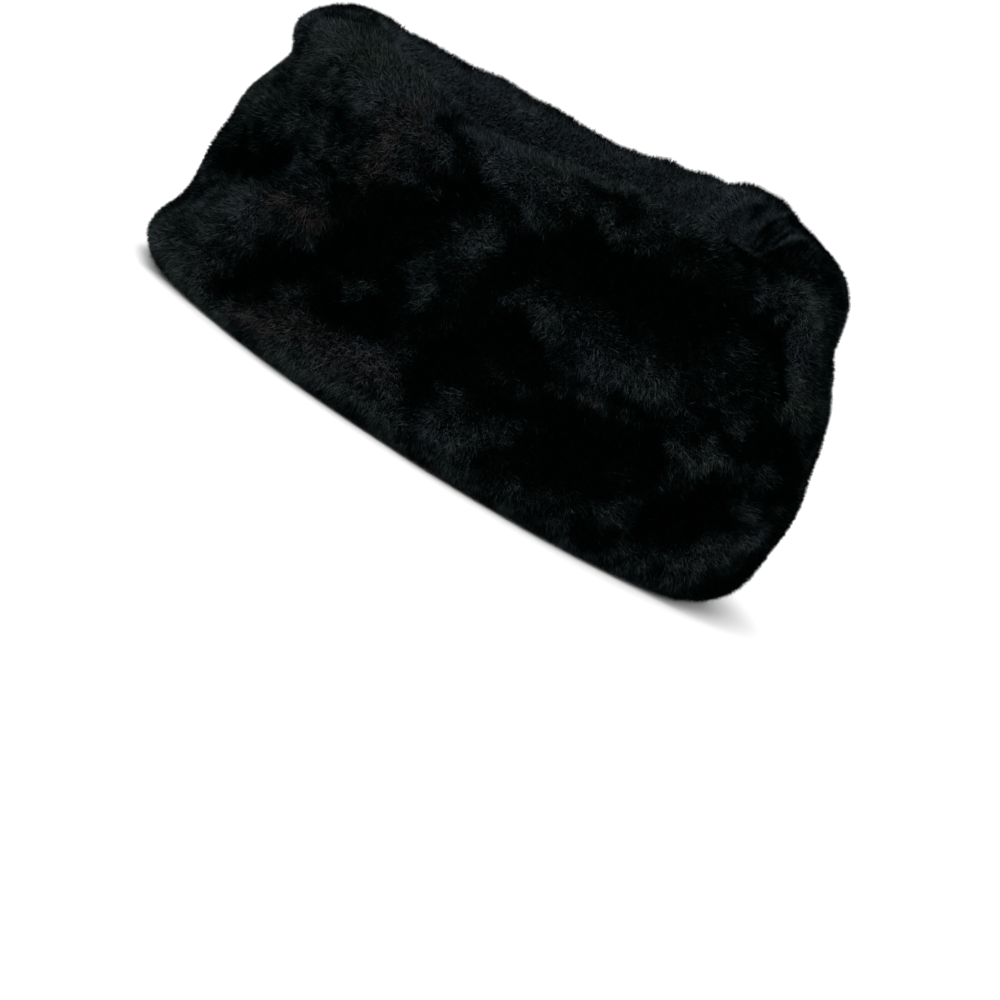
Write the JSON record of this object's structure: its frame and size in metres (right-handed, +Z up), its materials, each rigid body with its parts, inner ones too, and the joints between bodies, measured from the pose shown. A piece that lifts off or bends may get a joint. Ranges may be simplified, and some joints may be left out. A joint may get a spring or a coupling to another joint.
{
  "type": "fur hat",
  "caption": "Soft black short-pile fur hat: tall oval side band with a turned-under hem and a rolled top edge, and a crown sunk inside the roll.",
  "frame": {"origin": "on the floor under the middle of the hat, in the plane of the hem's flat foot", "axes": "+Z up, -Y towards the wearer's front, +X towards the wearer's left"},
  "size_m": [0.2075, 0.245, 0.1303],
  "materials": {
    "black_fur": "short dense black pile, matt in the hollows, with a soft sheen where the nap lies flat"
  },
  "bodies": {
    "root": {"side_band": "black_fur", "crown_top": "black_fur"}
  },
  "joints": []
}
